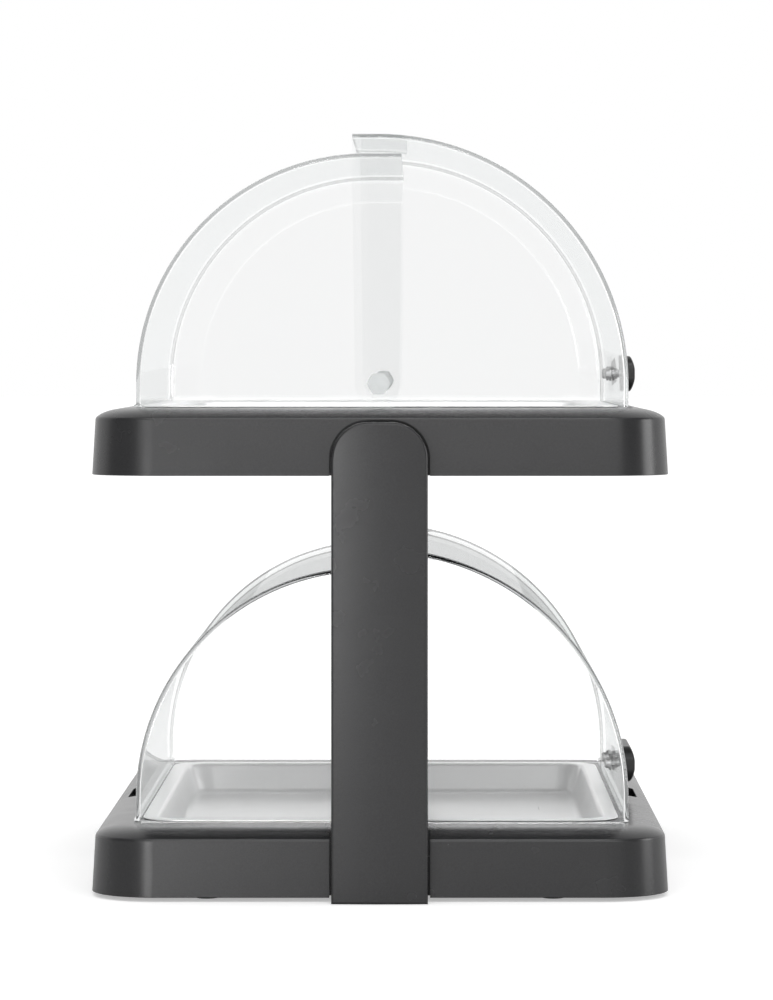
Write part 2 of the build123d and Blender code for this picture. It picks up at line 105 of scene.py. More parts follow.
class DeckSizes(bpy.types.PropertyGroup):
    """Sizes of the moulded decks."""

    corner: length("Corner radius", "Radius of the deck's corners in plan", 36 * MM)
    wall: length("Wall", "Thickness of the moulded walls", 3 * MM)
    skirt_height: length("Skirt height", "Height of the drafted skirt", 31.2 * MM)
    skirt_inset: length("Skirt draft", "How far the skirt leans in from bottom to top", 1.8 * MM)
    shoulder_rise: length("Shoulder rise", "Height of the rounded shoulder", 5.7 * MM)
    shoulder_run: length("Shoulder run", "Width of the rounded shoulder", 19 * MM)
    shoulder_roundness: length("Shoulder roundness", "Upright half axis of the shoulder's ellipse", 8 * MM)
    edge: length("Edge radius", "Radius of the deck's small edges", 0.45 * MM)
    crest: length("Crest radius", "Radius of the edge at the top of the skirt", 3 * MM)
    well_inset: length("Well inset", "How far the tray's flange overlaps the deck", 6.7 * MM)
    well_corner: length("Well corner", "Radius of the well's corners", 17 * MM)
    well_depth: length("Well depth", "Depth of the well from the deck's top", 32.9 * MM)
    seat_gap: length("Upright gap", "Gap round an upright in its seat", 1.2 * MM)
    seat_depth: length("Seat depth", "How deep an upright sits in the deck's end", 11 * MM)
    slot_length: length("Slot length", "Length of the slots in the long sides", 54 * MM)
    slot_width: length("Slot width", "Width of the slots in the long sides", 7.5 * MM)
    slot_reach: length("Slot reach", "Distance of the slots from the middle", 147 * MM)


class CoverSizes(bpy.types.PropertyGroup):
    """Sizes of the clear covers and their pivots."""

    wall: length("Wall", "Thickness of the clear walls", 2.3 * MM)
    edge: length("Edge radius", "Outer radius between the roof and the end walls", 3 * MM)
    rim: length("Rim softness", "Bevel on the cut edges of the clear walls", 0.6 * MM)
    pivot_x: coordinate("Pivot", "Place of the pivot across", -1 * MM)
    pivot_height: length("Pivot height", "Height of the pivot over the deck", 13.4 * MM)
    seat_gap: length("Seat gap", "Gap between the covers' feet and the deck", 0.4 * MM)
    roll_radius: length("Roll radius", "Outer radius of the cover that rolls", 139.3 * MM)
    roll_flange: length("Roll flange", "Flat part of the roll cover's roof behind the pivot", 14.7 * MM)
    fixed_radius: length("Fixed radius", "Outer radius of the fixed cover", 128.6 * MM)
    fixed_set_back: length("Set-back", "How far the fixed cover's centre is behind the pivot", 6.8 * MM)
    fixed_flange: length("Fixed flange", "Flat part of the fixed cover's roof", 19.6 * MM)
    fixed_lean: length("Fixed lean", "How far the fixed end wall's edge leans back", 0.8 * MM)
    bead_height: length("Bead height", "Height of the bead along the fixed cover's foot", 1.6 * MM)
    bead_reach: length("Bead reach", "How far the foot's bead stands out", 1 * MM)
    bolt_radius: length("Bolt radius", "Radius of the pivot bolts", 3.06 * MM)
    steps: IntProperty(name="Arc steps", description="Steps round a quarter of the roof", default=72, min=8)


class FittingSizes(bpy.types.PropertyGroup):
    """Sizes of the trays and handles."""

    sheet: length("Sheet", "Thickness of the tray's sheet", 0.8 * MM)
    flange_corner: length("Flange corner", "Radius of the flange's corners", 21 * MM)
    tray_gap: length("Tray gap", "Gap between the tray and the well", 1.2 * MM)
    tray_lean: length("Tray lean", "Slope of the tray's walls", radians(20), "ROTATION")
    tray_bend: length("Tray bend", "Inner radius between the tray's floor and walls", 5 * MM)
    grip_edge: length("Grip edge", "How far the grip's edges stand off the roof", 8.3 * MM)
    grip_corner: length("Grip corner", "Radius of the grip's ends", 8 * MM)
    grip_round: length("Grip rounding", "Rounding of the grip's outer edge", 0.9 * MM)
    screw_spacing: length("Screw spacing", "Distance between the handle's screws", 38 * MM)
    screw_radius: length("Screw radius", "Radius of the handle's screws", 2.05 * MM)


class Finishes(bpy.types.PropertyGroup):
    """Colours and gloss of the materials."""

    black: colour("Moulded black", "Colour of the decks and uprights", (0.020, 0.020, 0.021))
    black_gloss: share("Black roughness", "Roughness of the moulded black plastic", 0.26)
    grip: colour("Grip black", "Colour of the handles", (0.012, 0.012, 0.012))
    clear: colour("Clear", "Tint of the clear covers", (0.996, 0.998, 0.998))
    steel: colour("Stainless", "Colour of the stainless trays", (0.94, 0.94, 0.94))
    rubber: colour("Rubber", "Colour of the feet", (0.02, 0.02, 0.02))
    pack: colour("Pack", "Colour of the cooling packs", (0.50, 0.66, 0.80))


class StageSettings(bpy.types.PropertyGroup):
    """The floor, the lamps and the camera."""

    floor: colour("Floor", "Colour of the floor", (0.82, 0.82, 0.82))
    surround: share("Surround", "Strength of the light from all round", 0.86)
    front_low: share("Front glow", "How bright the room in front is in reflections", 0.45)
    front_high: share("Front height glow", "How bright the room high in front is in reflections", 0.90)
    overhead: share("Overhead glow", "How bright the room overhead is in reflections", 0.30)
    left: length("Left lamp", "Power of the lamp in front on the left", 8, "POWER")
    right: length("Right lamp", "Power of the lamp on the right", 16, "POWER")
    front: length("Front lamp", "Power of the wide lamp in front", 30, "POWER")
    high: length("High lamp", "Power of the lamp high in front", 13, "POWER")
    camera_x: coordinate("Camera across", "Camera place across", 0.021)
    camera_y: coordinate("Camera back", "Camera place along", -2.600)
    camera_z: coordinate("Camera height", "Camera height", 0.298)
    lens: FloatProperty(name="Lens", description="Focal length in millimetres", default=156.5, min=1)
    shift_x: FloatProperty(name="Shift across", description="Sideways shift of the lens", default=-0.0315)
    shift_y: FloatProperty(name="Shift up", description="Upward shift of the lens", default=-0.142)


# Shader groups shared by several materials


def new_group(name, inputs, outputs):
    """A shader group with named inputs, given as name to default, and named outputs."""
    group = bpy.data.node_groups.new(name, "ShaderNodeTree")
    for label, default in inputs.items():
        kind = "NodeSocketColor" if isinstance(default, tuple) else "NodeSocketFloat"
        socket = group.interface.new_socket(label, in_out="INPUT", socket_type=kind)
        socket.default_value = (*default, 1) if isinstance(default, tuple) else default
    for label, kind in outputs.items():
        group.interface.new_socket(label, in_out="OUTPUT", socket_type=kind)
    return group


def node(tree, kind, inputs=None, **settings):
    """A node with its settings, and inputs given as values or as sockets to link."""
    made = tree.nodes.new(kind)
    for key, value in settings.items():
        setattr(made, key, value)
    for key, value in (inputs or {}).items():
        if isinstance(value, bpy.types.NodeSocket):
            tree.links.new(value, made.inputs[key])
        else:
            made.inputs[key].default_value = value
    return made


def maths(tree, operation, first, second=0.0):
    """The result of one calculation with values or sockets."""
    return node(tree, "ShaderNodeMath", {0: first, 1: second}, operation=operation).outputs[0]


def ramp(tree, value, low, high, at_low, at_high, **settings):
    """A result that runs from one value to another while its input runs from low to high."""
    inputs = {"Value": value, "From Min": low, "From Max": high, "To Min": at_low, "To Max": at_high}
    return node(tree, "ShaderNodeMapRange", inputs, **settings).outputs[0]


def blend(tree, factor, first, second):
    """A colour between two linear colours."""
    inputs = {"Factor": factor, "A": (*first, 1), "B": (*second, 1)}
    return node(tree, "ShaderNodeMix", inputs, data_type="RGBA").outputs["Result"]


def scaled(tree, colour_in, factor):
    """A colour made darker or lighter by a factor."""
    return node(tree, "ShaderNodeVectorMath", {0: colour_in, 3: factor}, operation="SCALE").outputs[0]


def noise(tree, place, scale, detail):
    """The value of a soft noise at a place."""
    inputs = {"Vector": place, "Scale": scale, "Detail": detail}
    return node(tree, "ShaderNodeTexNoise", inputs).outputs["Fac"]


def moulded_grain():
    """Fine moulded grain: a fleck in the colour, an uneven gloss and a height for a bump."""
    if "moulded_grain" in bpy.data.node_groups:
        return bpy.data.node_groups["moulded_grain"]
    group = new_group(
        "moulded_grain",
        {"Colour": (0.03, 0.03, 0.03), "Grain scale": 1400.0, "Gloss": 0.4, "Gloss spread": 0.08},
        {"Colour": "NodeSocketColor", "Roughness": "NodeSocketFloat", "Height": "NodeSocketFloat"},
    )
    inside = node(group, "NodeGroupInput").outputs
    place = node(group, "ShaderNodeTexCoord").outputs["Object"]
    grain = noise(group, place, inside["Grain scale"], 4.0)
    pits = node(group, "ShaderNodeTexVoronoi", {"Vector": place, "Scale": inside["Grain scale"]})
    haze = noise(group, place, 9.0, 5.0)
    wipe = noise(group, place, 55.0, 3.0)
    swing = maths(group, "SUBTRACT", maths(group, "ADD", haze, wipe), 1.0)
    spread = maths(group, "MULTIPLY", swing, inside["Gloss spread"])
    tinted = scaled(group, inside["Colour"], ramp(group, grain, 0.3, 0.7, 0.86, 1.16))
    results = {
        "Colour": tinted,
        "Roughness": maths(group, "ADD", inside["Gloss"], spread),
        "Height": maths(group, "ADD", grain, pits.outputs["Distance"]),
    }
    node(group, "NodeGroupOutput", results)
    return group


def brushed_lines():
    """Fine lines drawn along the display, for sheet steel: colour, roughness and height."""
    if "brushed_lines" in bpy.data.node_groups:
        return bpy.data.node_groups["brushed_lines"]
    group = new_group(
        "brushed_lines",
        {"Colour": (0.6, 0.6, 0.6), "Line scale": 900.0, "Gloss": 0.25, "Gloss spread": 0.12},
        {"Colour": "NodeSocketColor", "Roughness": "NodeSocketFloat", "Height": "NodeSocketFloat"},
    )
    inside = node(group, "NodeGroupInput").outputs
    place = node(group, "ShaderNodeTexCoord").outputs["Object"]
    drawn = node(group, "ShaderNodeVectorMath", {0: place, 1: (1.0, 0.02, 1.0)}, operation="MULTIPLY")
    lines = noise(group, drawn.outputs[0], inside["Line scale"], 3.0)
    smear = noise(group, place, 14.0, 4.0)
    spread = maths(group, "MULTIPLY", maths(group, "SUBTRACT", lines, 0.5), inside["Gloss spread"])
    results = {
        "Colour": scaled(group, inside["Colour"], ramp(group, smear, 0.3, 0.7, 0.94, 1.05)),
        "Roughness": maths(group, "ADD", inside["Gloss"], spread),
        "Height": lines,
    }
    node(group, "NodeGroupOutput", results)
    return group


# Materials


def new_material(name):
    """An empty node material and its tree, or the material and nothing if it was made before."""
    if name in bpy.data.materials:
        return bpy.data.materials[name], None
    material = bpy.data.materials.new(name)
    material.use_nodes = True
    material.node_tree.nodes.clear()
    return material, material.node_tree


def grouped_material(name, group, values, bump, metallic=0.0):
    """A Principled material fed by a surface group, with a bump of a real height."""
    material, tree = new_material(name)
    if tree is None:
        return material
    surface = node(tree, "ShaderNodeGroup", node_tree=group)
    for key, value in values.items():
        surface.inputs[key].default_value = (*value, 1) if hasattr(value, "__len__") else value
    relief = node(
        tree, "ShaderNodeBump", {"Height": surface.outputs["Height"], "Strength": 0.5, "Distance": bump}
    )
    shader = node(
        tree,
        "ShaderNodeBsdfPrincipled",
        {
            "Base Color": surface.outputs["Colour"],
            "Roughness": surface.outputs["Roughness"],
            "Metallic": metallic,
            "Normal": relief.outputs[0],
        },
    )
    node(tree, "ShaderNodeOutputMaterial", {"Surface": shader.outputs[0]})
    return material


def black_plastic(look):
    """Satin black moulded plastic of the decks and uprights."""
    gloss = look.black_gloss
    values = {"Colour": tuple(look.black), "Grain scale": 1500.0, "Gloss": gloss, "Gloss spread": 0.07}
    return grouped_material("black_moulded_plastic", moulded_grain(), values, 0.003 * MM)


def grip_plastic(look):
    """Deeper black plastic of the handles."""
    values = {"Colour": tuple(look.grip), "Grain scale": 1900.0, "Gloss": 0.36, "Gloss spread": 0.06}
    return grouped_material("black_grip_plastic", moulded_grain(), values, 0.02 * MM)


def foot_rubber(look):
    """Matt rubber of the feet."""
    values = {"Colour": tuple(look.rubber), "Grain scale": 900.0, "Gloss": 0.75, "Gloss spread": 0.1}
    return grouped_material("foot_rubber", moulded_grain(), values, 0.04 * MM)


def pack_plastic(look):
    """Pale blue plastic case of the cooling packs."""
    values = {"Colour": tuple(look.pack), "Grain scale": 700.0, "Gloss": 0.45, "Gloss spread": 0.08}
    return grouped_material("cooling_pack_plastic", moulded_grain(), values, 0.05 * MM)


def tray_steel(look):
    """Bright brushed stainless sheet."""
    values = {"Colour": tuple(look.steel), "Line scale": 900.0, "Gloss": 0.30, "Gloss spread": 0.10}
    return grouped_material("brushed_stainless", brushed_lines(), values, 0.02 * MM, metallic=0.5)


def screw_steel(look):
    """Plain bright steel of the screws and washers."""
    values = {"Colour": tuple(look.steel), "Line scale": 2500.0, "Gloss": 0.3, "Gloss spread": 0.1}
    return grouped_material("screw_steel", brushed_lines(), values, 0.01 * MM, metallic=0.6)


def clear_plastic(name, tint, roughness, density, clearness=1.0):
    """Clear plastic that greys where light runs long inside it, with painted shade where its walls are seen
    at a slant and along its rims, and that lets lamps through.
    """
    material, tree = new_material(name)
    if tree is None:
        return material
    place = node(tree, "ShaderNodeTexCoord").outputs["Object"]
    gloss = ramp(tree, noise(tree, place, 30.0, 6.0), 0.35, 0.75, 0.0, roughness)
    facing = node(tree, "ShaderNodeLayerWeight", {"Blend": 0.25}).outputs["Facing"]
    # Painted shade: the colour greys where a wall is seen at a slant, standing in for the dark lines along
    # the walls' edges
    edge = ramp(tree, facing, 0.55, 1.0, 0.0, 0.35)
    inputs = {
        "Base Color": blend(tree, edge, tint, (0.55, 0.57, 0.57)),
        "Roughness": gloss,
        "IOR": 1.49,
        "Transmission Weight": clearness,
    }
    shader = node(tree, "ShaderNodeBsdfPrincipled", inputs)

    # Lamps pass straight through, and so does light that has been thrown to and fro inside a wall; that light
    # is greyed, a painted shade along the rims
    path = node(tree, "ShaderNodeLightPath").outputs
    deep = maths(tree, "GREATER_THAN", path["Glossy Depth"], 1.5)
    tint_and_painted_rim_shade = blend(tree, deep, (0.975, 0.98, 0.98), (0.91, 0.915, 0.915))
    passed = node(tree, "ShaderNodeBsdfTransparent", {"Color": tint_and_painted_rim_shade})
    lets = maths(tree, "MAXIMUM", path["Is Shadow Ray"], deep)

    # The outside of a wall seen at a slant mirrors less of the dark deck above it
    outer = maths(tree, "SUBTRACT", 1.0, node(tree, "ShaderNodeNewGeometry").outputs["Backfacing"])
    thin = ramp(tree, facing, 0.45, 0.9, 0.0, maths(tree, "MULTIPLY", outer, 0.6))
    factor = maths(tree, "MAXIMUM", lets, thin)
    mixed = node(tree, "ShaderNodeMixShader", {0: factor, 1: shader.outputs[0], 2: passed.outputs[0]})
    inside = node(tree, "ShaderNodeVolumeAbsorption", {"Color": (0.55, 0.60, 0.60, 1), "Density": density})
    node(tree, "ShaderNodeOutputMaterial", {"Surface": mixed.outputs[0], "Volume": inside.outputs[0]})
    return material


def cover_plastic(look):
    """Clear polycarbonate of the covers."""
    return clear_plastic("clear_cover_plastic", tuple(look.clear), 0.03, 2.0)


def clear_fittings(look):
    """Slightly milky clear plastic of the pivot bolts, washers and nuts."""
    return clear_plastic("clear_fitting_plastic", (0.90, 0.91, 0.91), 0.06, 1.0, clearness=0.7)


# Mesh helpers


def new_object(name, vertices, faces, material):
    """A mesh object from vertices in metres and faces, with its normals made to face outwards."""
    mesh = bpy.data.meshes.new(name)
    mesh.from_pydata([tuple(v) for v in vertices], [], faces)
    shape = bmesh.new()
    shape.from_mesh(mesh)
    bmesh.ops.recalc_face_normals(shape, faces=shape.faces)
    shape.to_mesh(mesh)
    shape.free()
    made = bpy.data.objects.new(name, mesh)
    bpy.context.scene.collection.objects.link(made)
    if material:
        mesh.materials.append(material)
    return made


def rounded_rectangle(half_x, half_y, radius, steps=14):
    """Points round a rectangle with round corners, anticlockwise from the right side."""
    points = []
    for turn, (side_x, side_y) in enumerate(((1, 1), (-1, 1), (-1, -1), (1, -1))):
        for step in range(steps + 1):
            angle = pi / 2 * (turn + step / steps)
            x = side_x * (half_x - radius) + radius * cos(angle)
            y = side_y * (half_y - radius) + radius * sin(angle)
            points.append((x, y))
    return points


def loft(rings, closed_ends=(True, True)):
    """Vertices and faces of a skin through rings with the same number of points."""
    count = len(rings[0])
    vertices = [point for ring in rings for point in ring]
    faces = []
    for level in range(len(rings) - 1):
        for k in range(count):
            after = (k + 1) % count
            low = level * count
            high = low + count
            faces.append((low + k, low + after, high + after, high + k))
    if closed_ends[0]:
        faces.append(tuple(range(count)))
    if closed_ends[1]:
        last = (len(rings) - 1) * count
        faces.append(tuple(last + k for k in range(count)))
    return vertices, faces


def plan_ring(half_x, half_y, radius, height, steps=14):
    """A rounded rectangle at a height."""
    return [(x, y, height) for x, y in rounded_rectangle(half_x, half_y, radius, steps)]


def box_mesh(low, high):
    """Vertices and faces of a box, for cutters and ribs."""
    xs, ys, zs = zip(low, high)
    corners = ((xs[0], ys[0]), (xs[1], ys[0]), (xs[1], ys[1]), (xs[0], ys[1]))
    vertices = [(x, y, z) for z in zs for x, y in corners]
    faces = [(0, 1, 2, 3), (4, 5, 6, 7), (0, 1, 5, 4), (1, 2, 6, 5), (2, 3, 7, 6), (3, 0, 4, 7)]
    return vertices, faces


def rod_mesh(centre, axis, radius, reach, steps=32):
    """Vertices and faces of a round rod centred on a point, along one axis."""
    turned = Vector(axis).to_track_quat("Z", "Y")
    rings = []
    for end in (-reach, reach):
        ring = []
        for step in range(steps):
            angle = 2 * pi * step / steps
            point = turned @ Vector((radius * cos(angle), radius * sin(angle), end))
            ring.append(tuple(Vector(centre) + point))
        rings.append(ring)
    return loft(rings)


def combine(target, mesh_data, operation):
    """Cut a mesh out of an object, or join it on, and keep the result as plain mesh."""
    tool = new_object("tool", *mesh_data, None)
    change = target.modifiers.new("change", "BOOLEAN")
    change.operation = operation
    change.solver = "EXACT"
    change.object = tool
    graph = bpy.context.evaluated_depsgraph_get()
    result = bpy.data.meshes.new_from_object(target.evaluated_get(graph))
    target.modifiers.remove(change)
    old = target.data
    target.data = result
    result.name = old.name
    bpy.data.meshes.remove(old)
    tool_mesh = tool.data
    bpy.data.objects.remove(tool)
    bpy.data.meshes.remove(tool_mesh)


def smooth(target, angle=radians(32), flat_axis=None):
    """Shade smooth, with sharp edges past an angle and, where asked, round flat walls along an axis."""
    shape = bmesh.new()
    shape.from_mesh(target.data)
    for face in shape.faces:
        face.smooth = True
    for edge in shape.edges:
        sharp = len(edge.link_faces) != 2 or edge.calc_face_angle(0) > angle
        if flat_axis is not None and len(edge.link_faces) == 2:
            flats = [abs(face.normal[flat_axis]) > 0.99999 for face in edge.link_faces]
            sharp = sharp or flats[0] != flats[1]
        edge.smooth = not sharp
    shape.to_mesh(target.data)
    shape.free()


def even_normals(target):
    """Let the large faces rule the shading, so that flat sides stay flat beside round corners."""
    even = target.modifiers.new("even", "WEIGHTED_NORMAL")
    even.keep_sharp = True
    even.weight = 90


def soften(target, width, segments=2, angle=radians(50)):
    """A small bevel along the sharp edges."""
    bevel = target.modifiers.new("soften", "BEVEL")
    bevel.width = width
    bevel.segments = segments
    bevel.limit_method = "ANGLE"
    bevel.angle_limit = angle
    bevel.use_clamp_overlap = True
    bevel.harden_normals = False


def settle(target, body, slot, *nodes):
    """Ride on a body and stand for CAD nodes. The slot is not used."""
    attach(target, body)
    if nodes:
        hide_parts(*nodes)


def dress(node_name, material):
    """Give a CAD node a better material."""
    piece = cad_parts[node_name]
    if not piece.material_slots:
        piece.data.materials.append(material)
    for place in piece.material_slots:
        place.material = material


# Decks


def deck_rings(sizes):
    """Rings of a deck's section, from the underside of the well round the skirt to the well's floor."""
    half_x, half_y = DECK_HIGH.x, DECK_HIGH.y
    bottom = DECK_LOW.z
    crest = bottom + sizes.skirt_height
    top = crest + sizes.shoulder_rise
    well_x, well_y = TRAY_HIGH.x - sizes.well_inset, TRAY_HIGH.y - sizes.well_inset
    floor = top - sizes.well_depth
    wall = sizes.wall
    edge = sizes.edge

    def outline(inset, height):
        corner = max(sizes.corner - inset, sizes.well_corner / 2)
        return plan_ring(half_x - inset, half_y - inset, corner, height)

    rings = [
        plan_ring(well_x, well_y, sizes.well_corner, floor - wall),
        plan_ring(well_x, well_y, sizes.well_corner, bottom),
        plan_ring(well_x + wall, well_y + wall, sizes.well_corner + wall, bottom),
        plan_ring(well_x + wall, well_y + wall, sizes.well_corner + wall, top - wall),
        outline(wall + sizes.skirt_inset + sizes.shoulder_run, top - wall),
        outline(wall + sizes.skirt_inset + sizes.shoulder_run, crest - wall),
        outline(wall + sizes.skirt_inset, crest - wall),
        outline(wall, bottom),
        outline(edge, bottom),
        outline(edge * 0.3, bottom + edge * 0.3),
        outline(edge * sizes.skirt_inset / sizes.skirt_height, bottom + edge),
    ]

    # Elliptical shoulder, as insets and heights, from where it leaves the skirt's crest to the level top
    drop = sizes.shoulder_roundness - sizes.shoulder_rise
    reach = sizes.shoulder_run / sqrt(1 - (drop / sizes.shoulder_roundness) ** 2)
    start = atan2(drop / sizes.shoulder_roundness, sizes.shoulder_run / reach)

    def shoulder(angle):
        inset = sizes.skirt_inset + sizes.shoulder_run - reach * cos(angle)
        return inset, top - sizes.shoulder_roundness * (1 - sin(angle))

    # Round crest, tangent to the skirt below and to the shoulder above
    slope = atan2(sizes.shoulder_roundness * cos(start), reach * sin(start))
    upright = atan2(sizes.skirt_height, sizes.skirt_inset)
    turn = upright - slope
    tangent = sizes.crest * sin(turn / 2) / cos(turn / 2)
    x = sizes.skirt_inset - tangent * cos(upright)
    z = crest - tangent * sin(upright)
    rings.append(outline(x, z))
    steps = 7
    for step in range(steps):
        heading = upright - turn * (step + 0.5) / steps
        x += 2 * sizes.crest * sin(turn / steps / 2) * cos(heading)
        z += 2 * sizes.crest * sin(turn / steps / 2) * sin(heading)
        rings.append(outline(x, z))
    steps = 14
    for step in range(1, steps + 1):
        inset, height = shoulder(start + (pi / 2 - start) * (step / steps) ** 1.3)
        if height > z + edge / 2:
            rings.append(outline(inset, height))

    rings += [
        plan_ring(well_x + edge, well_y + edge, sizes.well_corner, top),
        plan_ring(well_x + edge * 0.3, well_y + edge * 0.3, sizes.well_corner, top - edge * 0.3),
        plan_ring(well_x, well_y, sizes.well_corner, top - edge),
        plan_ring(well_x, well_y, sizes.well_corner, floor + edge),
        plan_ring(well_x - edge, well_y - edge, sizes.well_corner, floor),
    ]
    return rings


def upright_outline(gap, bottom, top):
    """The front view of an upright with round top corners, as points across and up."""
    half = UPRIGHT_HIGH.x + gap
    corner = UPRIGHT_CORNER + gap
    points = [(half, bottom)]
    steps = 20
    for step in range(steps + 1):
        angle = pi / 2 * step / steps
        points.append((half - corner + corner * cos(angle), top - corner + corner * sin(angle)))
    return points + [(-x, z) for x, z in reversed(points)]


def build_deck(tier, sizes, material):
    """One deck with its upright seats and slots cut, and the ribs underneath."""
    base = BASES[tier]
    rings = [[(x, y, z + base) for x, y, z in ring] for ring in deck_rings(sizes)]
    deck = new_object(f"{tier}_deck_shell", *loft(rings), material)
    bottom = base + DECK_LOW.z
    crest = bottom + sizes.skirt_height
    top = crest + sizes.shoulder_rise
    half_y = DECK_HIGH.y
    back = half_y - sizes.seat_depth
    half_seat = UPRIGHT_HIGH.x + sizes.seat_gap

    # Blocks behind the upright seats, then the seats themselves
    for side in ENDS.values():
        ys = sorted((side * (back - sizes.wall), side * (half_y - sizes.wall + BITE)))
        block_half = half_seat + sizes.wall
        block = box_mesh((-block_half, ys[0], bottom), (block_half, ys[1], crest - sizes.wall + LAP))
        combine(deck, block, "UNION")
    for side in ENDS.values():
        outline = upright_outline(sizes.seat_gap, base - OVERCUT, UPRIGHT_HIGH.z + sizes.seat_gap)
        rings = [[(x, side * y, z) for x, z in outline] for y in (back, half_y + OVERCUT)]
        combine(deck, loft(rings), "DIFFERENCE")

    # Slots in the long sides
    for side in (-1, 1):
        half = sizes.slot_length / 2
        width = sizes.slot_width / 2
        plan = [
            (side * sizes.slot_reach + x, y)
            for x, y in rounded_rectangle(width, half, width * 0.98, 8)
        ]
        rings = [[(x, y, z) for x, y in plan] for z in (crest - sizes.wall - BITE, top + BITE)]
        combine(deck, loft(rings), "DIFFERENCE")

    smooth(deck)
    even_normals(deck)
    settle(deck, "stand", "black_plastic", f"{tier}_deck")

    # Ribs across the hollow under the deck, and the bosses of the feet
    vertices, faces = [], []
    low = bottom + RIB_FOOT
    high = top - sizes.wall + LAP - RIB_HEAD
    well_x = TRAY_HIGH.x - sizes.well_inset + sizes.wall - BITE
    well_y = TRAY_HIGH.y - sizes.well_inset + sizes.wall - BITE
    skirt_x = DECK_HIGH.x - sizes.wall - BITE
    skirt_y = half_y - sizes.wall - BITE
    pieces = []
    for side in (-1, 1):
        for y in RIBS_ALONG:
            xs = sorted((side * well_x, side * skirt_x))
            pieces.append(box_mesh((xs[0], y - RIB_HALF, low), (xs[1], y + RIB_HALF, high)))
        for x in RIBS_ACROSS:
            ys = sorted((side * well_y, side * skirt_y))
            pieces.append(box_mesh((x - RIB_HALF, ys[0], low), (x + RIB_HALF, ys[1], high)))
        for y in (-BOSS_Y, BOSS_Y):
            centre = (side * BOSS_X, y, (bottom + high) / 2)
            pieces.append(rod_mesh(centre, (0, 0, 1), BOSS_RADIUS, (high - bottom) / 2))
    for more, sides in pieces:
        faces += [tuple(len(vertices) + k for k in face) for face in sides]
        vertices += more
    ribs = new_object(f"{tier}_deck_ribs", vertices, faces, material)
    smooth(ribs)
    settle(ribs, "stand", "black_plastic")


# Covers


def roll_profile(sizes):
    """The roll cover's roof line as points with outward directions, and the rest of its end wall."""
    pivot = ROLL_LOW.z - sizes.seat_gap + sizes.pivot_height
    foot = ROLL_LOW.z
    top = pivot + sizes.roll_radius
    roof = [(sizes.pivot_x - sizes.roll_flange, top, 0, 1)]
    for step in range(sizes.steps + 1):
        angle = pi / 2 * (1 - step / sizes.steps)
        across, up = cos(angle), sin(angle)
        roof.append((sizes.pivot_x + sizes.roll_radius * across, pivot + sizes.roll_radius * up, across, up))
    roof.append((sizes.pivot_x + sizes.roll_radius, foot, 1, 0))
    lobe = sizes.pivot_height - sizes.seat_gap
    rest = []
    for step in range(17):
        angle = -pi / 2 - pi / 2 * step / 16
        rest.append((sizes.pivot_x + lobe * cos(angle), pivot + lobe * sin(angle)))
    return roof, rest


def fixed_profile(sizes):
    """The fixed cover's roof line, from its foot to its front edge, and the rest of its end wall."""
    pivot = FIXED_LOW.z - sizes.seat_gap + sizes.pivot_height
    foot = FIXED_LOW.z
    centre = sizes.pivot_x - sizes.fixed_set_back
    rear = centre - sizes.fixed_radius
    bead = sizes.bead_height
    roof = [
        (rear, foot, -1, 0),
        (rear, foot + bead * 0.8, -1, 0),
        (rear, foot + bead, -1, 0),
    ]
    for step in range(sizes.steps + 1):
        angle = pi - pi / 2 * step / sizes.steps
        across, up = cos(angle), sin(angle)
        roof.append((centre + sizes.fixed_radius * across, pivot + sizes.fixed_radius * up, across, up))
    front = centre + sizes.fixed_flange
    roof.append((front, pivot + sizes.fixed_radius, 0, 1))
    lobe = sizes.pivot_height - sizes.seat_gap
    rest = [(front - sizes.fixed_lean, pivot), (front - sizes.fixed_lean - lobe / 4, foot)]
    return roof, rest


def cover_rings(half, sizes, thickness):
    """For each ring from the near wall to the far one: its place along and its depth below the roof."""
    radius = sizes.edge - thickness
    steps = 7
    near = []
    for step in range(steps + 1):
        angle = pi / 2 * step / steps
        near.append((half - thickness - radius + radius * cos(angle), thickness + radius * (1 - sin(angle))))
    return [(-along, depth, step == steps) for step, (along, depth) in enumerate(near)] + [
        (along, depth, step == 0) for step, (along, depth) in enumerate(reversed(near))
    ]


def build_cover(name, profile, half, base, sizes, material, bead=0):
    """A clear shell: roof, rounded edges and two end walls, all of one thickness."""
    roof, rest = profile
    vertices, grids, tails = [], [], []
    for thickness in (0.0, sizes.wall):
        grid = []
        for along, depth, full in cover_rings(half, sizes, thickness):
            row = []
            for k, (x, z, across, up) in enumerate(roof):
                reach = -bead if full and thickness == 0.0 and bead and k < 2 else 0.0
                row.append(len(vertices))
                vertices.append((x - across * depth + reach, along, z - up * depth + base))
            grid.append(row)
        grids.append(grid)
        ends = []
        for side in (-1, 1):
            tail = []
            for x, z in rest:
                tail.append(len(vertices))
                vertices.append((x, side * (half - thickness), z + base))
            ends.append(tail)
        tails.append(ends)

    faces = []
    count = len(roof)
    for grid in grids:
        for low, high in zip(grid, grid[1:]):
            faces += [(low[k], low[k + 1], high[k + 1], high[k]) for k in range(count - 1)]
    outer, inner = grids
    for k in (0, count - 1):
        for ring in range(len(outer) - 1):
            faces.append((outer[ring][k], outer[ring + 1][k], inner[ring + 1][k], inner[ring][k]))
    for end, ring in ((0, 0), (1, -1)):
        loops = []
        for grid, ends in zip(grids, tails):
            row = grid[ring]
            loops.append(row + ends[end])
            faces.append(tuple(row + ends[end]))
        for k in range(count - 1, len(loops[0])):
            after = (k + 1) % len(loops[0])
            faces.append((loops[0][k], loops[0][after], loops[1][after], loops[1][k]))
    return new_object(name, vertices, faces, material)


